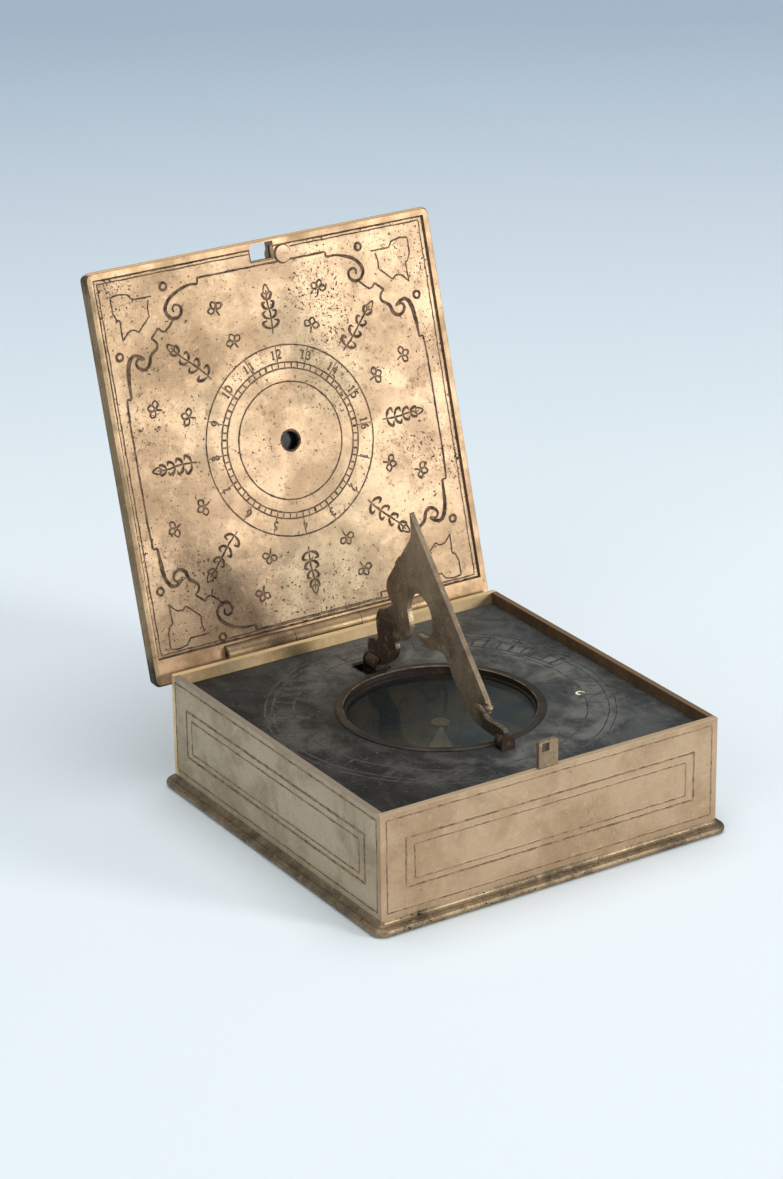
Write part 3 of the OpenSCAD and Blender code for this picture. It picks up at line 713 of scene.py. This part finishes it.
def wind_rose(sheet):
    cuts = Engraving("wind_rose", sheet, 11, rough=0.02)
    band, ring, outer = ROSE_RINGS[1:]
    for radius in ROSE_RINGS:
        cuts.ring(ROSE, radius, width=0.24)
    for k in range(ROSE_TICKS):
        bearing = 360 / ROSE_TICKS * k
        spoke = [ring_point(ROSE, r, bearing) for r in (band, ring)]
        cuts.cut(spoke, width=0.34 if cuts.random.random() < 0.25 else 0.2, step=0.3)
    for k in range(ROSE_NUMBERS):
        bearing = 360 / ROSE_NUMBERS * k
        spoke = [ring_point(ROSE, r, bearing) for r in (ring, outer)]
        cuts.cut(spoke, width=0.14, step=0.3)
        value = (TOP_NUMBER - 1 + k) % ROSE_NUMBERS + 1
        middle = ring_point(ROSE, (ring + outer) / 2, bearing)
        number(cuts, str(value), middle, 1.4, bearing, 1.15)
    cuts.finish()


# Plain foliage round the rose: distances from its middle, and how many leaves a stem has
LEAF_PAIRS = 4
SPRAY_NEAR = 18.2
SPRAY_FAR_STRAIGHT = 25.6
SPRAY_FAR_CORNER = 27.4
TREFOIL_RINGS = (19.6, 26.0)


def leaf_spray(cuts, bearing, near, far):
    """A stem with pairs of curled leaves, pointing away from the middle of the rose."""
    turn = Matrix.Rotation(-math.radians(bearing), 2)

    def place(points):
        return [ROSE + turn @ Vector(p) for p in points]
    stem = [(0, near), (0.18, near + 3), (-0.1, far - 2), (0, far)]
    cuts.curve(place(stem), width=0.3, taper=0.4)
    for k in range(LEAF_PAIRS):
        y = near + 0.9 + (far - near - 2.6) * k / (LEAF_PAIRS - 1)
        reach = 1.5 - 0.22 * k
        for side in (-1, 1):
            leaf = [(0, y), (side * reach * 0.7, y + 0.35), (side * reach, y + 1.1),
                    (side * reach * 0.45, y + 1.35)]
            cuts.curve(place(leaf), width=0.3, taper=0.5, swell=0.1, step=0.3)
    bud = [(0, far - 0.8), (0.55, far - 0.2), (0, far + 0.9), (-0.55, far - 0.2), (0, far - 0.8)]
    cuts.curve(place(bud), width=0.26, step=0.3)


def trefoil(cuts, bearing, radius):
    turn = Matrix.Rotation(-math.radians(bearing), 2)
    for lean in (-70, 0, 70):
        tilt = turn @ Matrix.Rotation(-math.radians(lean), 2)
        petal = [(0, 0.15), (0.5, 0.9), (0, 1.5), (-0.5, 0.9), (0, 0.15)]
        foot = ROSE + turn @ Vector((0, radius))
        cuts.curve([foot + tilt @ Vector(p) for p in petal], width=0.3, step=0.3)
    stem = [ROSE + turn @ Vector(p) for p in ((0, radius), (0.15, radius - 1.2))]
    cuts.cut(stem, width=0.3, taper=0.5, step=0.3)


def foliage(sheet):
    cuts = Engraving("rose_foliage", sheet, 19)
    for k in range(8):
        leaf_spray(cuts, 45 * k, SPRAY_NEAR, SPRAY_FAR_CORNER if k % 2 else SPRAY_FAR_STRAIGHT)
        for radius in TREFOIL_RINGS:
            trefoil(cuts, 45 * k + 22.5, radius)
    cuts.finish()


# Engraved frames of the walls: the distance of the outermost from the wall's edges, and half the
# width, the bottom and the top of the two inside it
WALL_EDGE = 1.1
OUTER_PANEL = (27.4, 6.9, 15.3)
INNER_PANEL = (25.8, 8.0, 13.9)


def frame_lines(cuts, left, right, low, high, **how):
    cuts.lines([(left, low), (left, high), (right, high), (right, low), (left, low)], **how)


def wall_panels(name, sheet, seed, width):
    cuts = Engraving(name, sheet, seed, rough=0.04)
    edge = (HALF - WALL_EDGE, WALL_FOOT + WALL_EDGE, RIM - WALL_EDGE)
    for (side, low, high), share in ((edge, 0.7), (OUTER_PANEL, 1), (INNER_PANEL, 0.7)):
        frame_lines(cuts, -side, side, low, high, width=width * share)
    cuts.finish()


# Outside of the lid: (distance from the edge, width) and (radius, width) of its lines
OUTSIDE_BORDERS = ((1.6, 0.36), (2.7, 0.22))
OUTSIDE_RINGS = ((21.0, 0.34), (19.6, 0.22))


def outside_lines(sheet):
    """A plain double border, left off round the slot and the hook, and two plain rings."""
    cuts = Engraving("lid_outside", sheet, 61, rough=0.04)
    for inset, width in OUTSIDE_BORDERS:
        side, low, high = LID_HALF - inset, LID_FOOT + inset, LID_END - inset
        cuts.lines([(-HOOK_RIVET.x - 2.6, high), (-side, high), (-side, low),
                    (side, low), (side, high), (SLOT_HALF + 0.4, high)], width=width)
    for radius, width in OUTSIDE_RINGS:
        cuts.ring(Vector((-ROSE.x, ROSE.y)), radius, width=width)
    cuts.finish()


# Dial: (radius, width) of its rings, then the hour marks and the ladder at the back right
DIAL_RINGS = ((23.9, 0.16), (27.4, 0.14), (28.6, 0.14))
HOUR_BEARINGS = range(-112, 118, 15)
HOUR_MARK = (23.9, 27.2)
HALF_HOUR_MARK = (25.4, 27.2)
LADDER_RINGS = (24.9, 28.0, 30.2)
LADDER_BEARINGS = range(40, 82, 5)
LADDER_ARC = (38, 82)
LADDER_RUNG = (25.0, 28.0)
LADDER_POST = (28.0, 30.2)
LADDER_BAR_R = 29.1

# The small bright ring on the dial
DIAL_MARK = (21.9, -8.3)
DIAL_MARK_R = 0.62


def radial(cuts, radii, bearing, **how):
    """A cut along one bearing from one radius to another."""
    cuts.cut([ring_point((0, 0), r, bearing) for r in radii], **how)


def dial_lines(sheet):
    cuts = Engraving("dial_hour_ring", sheet, 29, rough=0.06)
    middle = Vector((0, 0))
    for radius, width in DIAL_RINGS:
        cuts.ring(middle, radius, width=width)
    for bearing in HOUR_BEARINGS:
        radial(cuts, HOUR_MARK, bearing, width=0.22, taper=0.4)
        radial(cuts, HALF_HOUR_MARK, bearing + 7.5, width=0.2, taper=0.4)
    for radius in LADDER_RINGS:
        cuts.cut(circle(middle, radius, *LADDER_ARC), width=0.3)
    for bearing in LADDER_BEARINGS:
        radial(cuts, LADDER_RUNG, bearing, width=0.3)
        if bearing % 10 == 0:
            cuts.cut(circle(middle, LADDER_BAR_R, bearing - 2, bearing + 2), width=0.34)
            radial(cuts, LADDER_POST, bearing, width=0.3)
    cuts.finish()


def dial_mark(sheet):
    """The small bright ring, worn open on one side, that stands to the right of the compass."""
    cuts = Engraving("dial_mark", sheet, 31, rough=0.02)
    cuts.cut(circle(DIAL_MARK, DIAL_MARK_R, -150, 120, 15), width=0.2, step=0.2)
    cuts.finish()


# Turned bead at the foot of the style: its (radius, height) from bottom to top
BEAD_PLACE = Vector((0, -14.1, 23.3))
BEAD = ((0.02, -0.95), (0.34, -0.9), (0.42, -0.7), (0.28, -0.52), (0.58, -0.3), (0.7, 0.0),
        (0.6, 0.32), (0.3, 0.52), (0.38, 0.68), (0.3, 0.86), (0.02, 0.92))
BEAD_SIDES = 28


def turned_bead(material):
    vertices = []
    faces = []
    for radius, height in BEAD:
        for k in range(BEAD_SIDES):
            angle = 2 * math.pi * k / BEAD_SIDES
            offset = Vector((radius * math.cos(angle), radius * math.sin(angle), height))
            vertices.append((BEAD_PLACE + offset) * MM)
    for row in range(len(BEAD) - 1):
        for k in range(BEAD_SIDES):
            a, b = row * BEAD_SIDES + k, row * BEAD_SIDES + (k + 1) % BEAD_SIDES
            faces.append((a, b, b + BEAD_SIDES, a + BEAD_SIDES))
    faces.append(tuple(reversed(range(BEAD_SIDES))))
    last = (len(BEAD) - 1) * BEAD_SIDES
    faces.append(tuple(range(last, last + BEAD_SIDES)))
    mesh = bpy.data.meshes.new("style_bead")
    mesh.from_pydata(vertices, [], faces)
    mesh.polygons.foreach_set("use_smooth", [True] * len(faces))
    mesh.materials.append(material)
    bead = bpy.data.objects.new("style_bead", mesh)
    bpy.context.scene.collection.objects.link(bead)
    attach(bead, "gnomon")


# Backdrop: a pale floor with painted shade that turns it greyer and bluer far behind the object, in
# metres away from the camera
BACKDROP_NEAR = (0.12, colour(0.957, 0.987, 1.0))
BACKDROP_FAR = (0.52, colour(0.735, 0.805, 0.865))
FLOOR_REACH = 6.0


def make_stage():
    s = Shader("backdrop")
    away = Vector((-math.sin(math.radians(CAMERA_YAW)), math.cos(math.radians(CAMERA_YAW)), 0))
    # Painted shade: the floor darkens with distance away from the camera's side.
    distance = s.maths("MULTIPLY", s.along(away), MM)
    share = s.maths("DIVIDE", s.maths("SUBTRACT", distance, BACKDROP_NEAR[0]),
                    BACKDROP_FAR[0] - BACKDROP_NEAR[0], clamp=True)
    share = s.maths("POWER", share, 1.05)
    s.join(s.mix(share, BACKDROP_NEAR[1], BACKDROP_FAR[1]), s.bsdf.inputs["Base Color"])
    s.bsdf.inputs["Roughness"].default_value = 0.9
    s.bsdf.inputs["Specular IOR Level"].default_value = 0.1
    s.bump(s.noise(1.2, 3), 0.01, 0.1)
    mesh = bpy.data.meshes.new("floor")
    signs = ((-1, -1), (1, -1), (1, 1), (-1, 1))
    mesh.from_pydata([(x * FLOOR_REACH, y * FLOOR_REACH, 0) for x, y in signs], [], [(0, 1, 2, 3)])
    mesh.materials.append(s.material)
    floor = bpy.data.objects.new("floor", mesh)
    bpy.context.scene.collection.objects.link(floor)


def area_light(name, place, target, size, power, tint):
    data = bpy.data.lights.new(name, "AREA")
    data.shape = "DISK"
    data.size = size
    data.energy = power
    data.color = tint
    light = bpy.data.objects.new(name, data)
    bpy.context.scene.collection.objects.link(light)
    light.location = place
    light.rotation_euler = (Vector(place) - Vector(target)).to_track_quat("Z", "Y").to_euler()


# Lights: name, place and size in metres, power in watts and tint. The low key light throws the
# gnomon's shadow on the lid.
LIGHT_AIM = (0, 0, 0.02)
LIGHTS = (
    ("key", (0.64, -0.98, 0.30), 0.3, 8.3, (1.0, 0.985, 0.95)),
    ("top", (0.1, 0.1, 1.2), 1.2, 8.2, (0.99, 0.99, 0.99)),
    ("fill", (-0.95, -0.5, 0.6), 0.8, 2.4, (1.0, 0.98, 0.96)))


def make_light():
    world = bpy.data.worlds.new("studio")
    world.use_nodes = True
    back = world.node_tree.nodes["Background"]
    back.inputs["Color"].default_value = (0.80, 0.90, 1.0, 1)
    back.inputs["Strength"].default_value = 0.32
    bpy.context.scene.world = world
    for name, place, size, power, tint in LIGHTS:
        area_light(name, place, LIGHT_AIM, size, power, tint)
    bpy.context.scene.view_settings.view_transform = "Standard"


make_camera()
make_stage()
make_light()

# Metals, each with its base, deep and worn tone
LINING = lining_metal()
SHELL = rail_masks(shell_metal())
FRONT = wall_metal(
    "front_brass", *tones((0.72, 0.61, 0.49), (0.65, 0.54, 0.42), (0.81, 0.72, 0.59)),
    stains=0.3, pits=0.4, rubbed_tone=colour(0.76, 0.66, 0.53))
LEFT = wall_metal(
    "left_brass", *tones((0.73, 0.66, 0.55), (0.64, 0.57, 0.46), (0.83, 0.77, 0.66)),
    stains=0.4, pits=0.5, rubbed_tone=colour(0.60, 0.55, 0.48))
WARM = wall_metal(
    "warm_brass", *tones((0.50, 0.40, 0.29), (0.38, 0.30, 0.22), (0.64, 0.53, 0.38)),
    metallic=0.45, roughness=0.5, stains=0.5, pits=0.5, rubbed_tone=colour(0.52, 0.41, 0.29))
# Painted light: the back wall has a paler tone than the other walls, for the front light that falls
# on its inner face.
LIT_BACK_BRASS = wall_metal(
    "back_brass_painted_light", *tones((0.94, 0.82, 0.63), (0.82, 0.69, 0.50), (1.0, 0.92, 0.76)),
    metallic=0.5, roughness=0.42, stains=0.25, pits=0.35, rubbed_tone=colour(0.95, 0.84, 0.64))
FLANGE_DIRT = tuple((Vector((x, -HALF - 0.6, 1)), 7, 0.9) for x in (-26, -9, 6, 24))
FLANGE = aged_metal(
    "flange_brass", *tones((0.58, 0.50, 0.39), (0.36, 0.31, 0.24), (0.84, 0.74, 0.58)),
    metallic=0.55, roughness=0.42, stains=0.6, pits=1.0, mottle=0.6, spots=FLANGE_DIRT)
FITTING = aged_metal(
    "fitting_brass", *tones((0.64, 0.54, 0.40), (0.47, 0.38, 0.28), (0.80, 0.69, 0.52)),
    metallic=0.55, roughness=0.42, stains=0.5, pits=0.5)
STAPLE = aged_metal(
    "staple_brass", *tones((0.64, 0.56, 0.44), (0.44, 0.37, 0.28), (0.80, 0.71, 0.57)),
    metallic=0.5, roughness=0.45, stains=0.5, pits=0.6)
LEG_BROWN = colour(0.27, 0.22, 0.18)
GNOMON_DARK = (((0, 17, 24), 10, LEG_BROWN, 0.95), ((0, -17, 20), 8, LEG_BROWN, 0.9),
               ((0, 14, 36), 7, colour(0.42, 0.33, 0.27), 0.5))
BRONZE = aged_metal(
    "gnomon_bronze", *tones((0.63, 0.55, 0.45), (0.44, 0.37, 0.29), (0.88, 0.80, 0.68)),
    metallic=0.55, roughness=0.42, stains=0.6, pits=0.5, mottle=0.5, patches=GNOMON_DARK)
KNUCKLE = aged_metal(
    "knuckle_bronze", *tones((0.25, 0.20, 0.16), (0.13, 0.10, 0.08), (0.44, 0.36, 0.28)),
    metallic=0.45, roughness=0.45, stains=0.7, pits=0.6)
BEZEL = aged_metal(
    "bezel_brass", *tones((0.20, 0.18, 0.15), (0.12, 0.10, 0.09), (0.34, 0.30, 0.24)),
    metallic=0.4, roughness=0.45, stains=0.4, pits=0.5, wear=inner_lip,
    rubbed_tone=colour(0.66, 0.57, 0.42))
BOWL = aged_metal(
    "bowl_copper", *tones((0.20, 0.16, 0.13), (0.12, 0.09, 0.07), (0.32, 0.25, 0.19)),
    metallic=0.3, roughness=0.6, stains=0.4, pits=0.5)
MARK = aged_metal(
    "dial_rivet", *tones((0.30, 0.30, 0.29), (0.20, 0.20, 0.19), (0.44, 0.43, 0.40)),
    metallic=0.3, roughness=0.5, stains=0.3, pits=0.5)
PALE = aged_metal(
    "pale_brass", *tones((1.0, 0.98, 0.80), (0.92, 0.89, 0.68), (1.0, 1.0, 0.88)),
    metallic=0.0, roughness=0.4, stains=0.2, pits=0.2)
CAP = aged_metal(
    "cap_gold", *tones((0.80, 0.68, 0.40), (0.52, 0.42, 0.24), (0.95, 0.85, 0.58)),
    metallic=0.4, roughness=0.4, stains=0.3, pits=0.3)
STEEL = aged_metal(
    "old_steel", *tones((0.22, 0.22, 0.23), (0.14, 0.12, 0.11), (0.40, 0.38, 0.36)),
    metallic=0.7, roughness=0.4, stains=0.4, pits=0.5)
RUST = aged_metal(
    "rusty_pin", *tones((0.34, 0.24, 0.19), (0.20, 0.14, 0.11), (0.48, 0.36, 0.28)),
    metallic=0.3, roughness=0.6, stains=0.5, pits=0.5)

dress(["lid_lining", "lining_rivets"], LINING)
dress(["lid_shell"], SHELL)
dress(["front_wall"], FRONT)
dress(["left_wall"], LEFT)
dress(["right_wall"], WARM)
dress(["back_wall"], LIT_BACK_BRASS)
dress(["base_plate"], FLANGE)
dress(["hinge_case_leaf", "hinge_lid_leaf", "hinge_leaf_rivets", "latch_hook"], FITTING)
dress(["latch_rivet"], LINING)
dress(["lid_staple"], STAPLE)
dress(["bowl_rivets"], MARK)
dress(["gnomon"], BRONZE)
dress(["gnomon_front_fork", "gnomon_rear_fork"], KNUCKLE)
dress(["compass_bezel"], BEZEL)
dress(["compass_bowl", "glass_seat_ring", "glass_retaining_ring", "corner_posts"], BOWL)
dress(["needle_pivot"], PALE)
dress(["needle_cap"], CAP)
dress(["compass_needle", "hinge_pin"], STEEL)
dress(["gnomon_front_pin", "gnomon_rear_pin"], RUST)
dress(["dial_plate"], dial_metal())
dress(["compass_glass"], glass_material())
dress(["compass_card"], paper_material())

INK = furrow_material("furrow_dark", colour(0.17, 0.12, 0.08), colour(0.45, 0.34, 0.24))
SOFT = furrow_material("furrow_soft", colour(0.38, 0.31, 0.23), colour(0.60, 0.49, 0.36))
DIAL_CUT = furrow_material("furrow_dial", colour(0.07, 0.07, 0.07), colour(0.24, 0.24, 0.23))
DIAL_BURR = furrow_material("burr_dial", colour(0.26, 0.26, 0.25), colour(0.40, 0.39, 0.37))

lining = Sheet("lid", "lid_brass", lid_point(0, 0), ACROSS, LID_UP, LINING, INK)
front = Sheet("case", "lid_brass", (0, -HALF, 0), ACROSS, UP, FRONT, SOFT)
left = Sheet("case", "side_brass", (-HALF, 0, 0), -BACK, UP, LEFT, SOFT)
right = Sheet("case", "lid_brass", (HALF, 0, 0), BACK, UP, WARM, SOFT)
back = Sheet("case", "lid_brass", (0, HALF, 0), -ACROSS, UP, LIT_BACK_BRASS, SOFT)
outside = Sheet("lid", "gilt_brass", lid_point(0, 0, LID_THICK), -ACROSS, LID_UP, SHELL, SOFT)
dial = Sheet("case", "dial_grey", (0, 0, DIAL_TOP), ACROSS, BACK, DIAL_BURR, DIAL_CUT)

border_lines(lining)
worn_rings(lining)
strapwork(lining)
wind_rose(lining)
foliage(lining)
wall_panels("front_panel", front, 41, 0.36)
wall_panels("left_panel", left, 43, 0.5)
wall_panels("right_panel", right, 47, 0.4)
wall_panels("back_panel", back, 53, 0.36)
outside_lines(outside)
dial_lines(dial)
turned_bead(STAPLE)
dial_mark(Sheet("case", "dial_grey", (0, 0, DIAL_TOP), ACROSS, BACK, PALE, PALE))
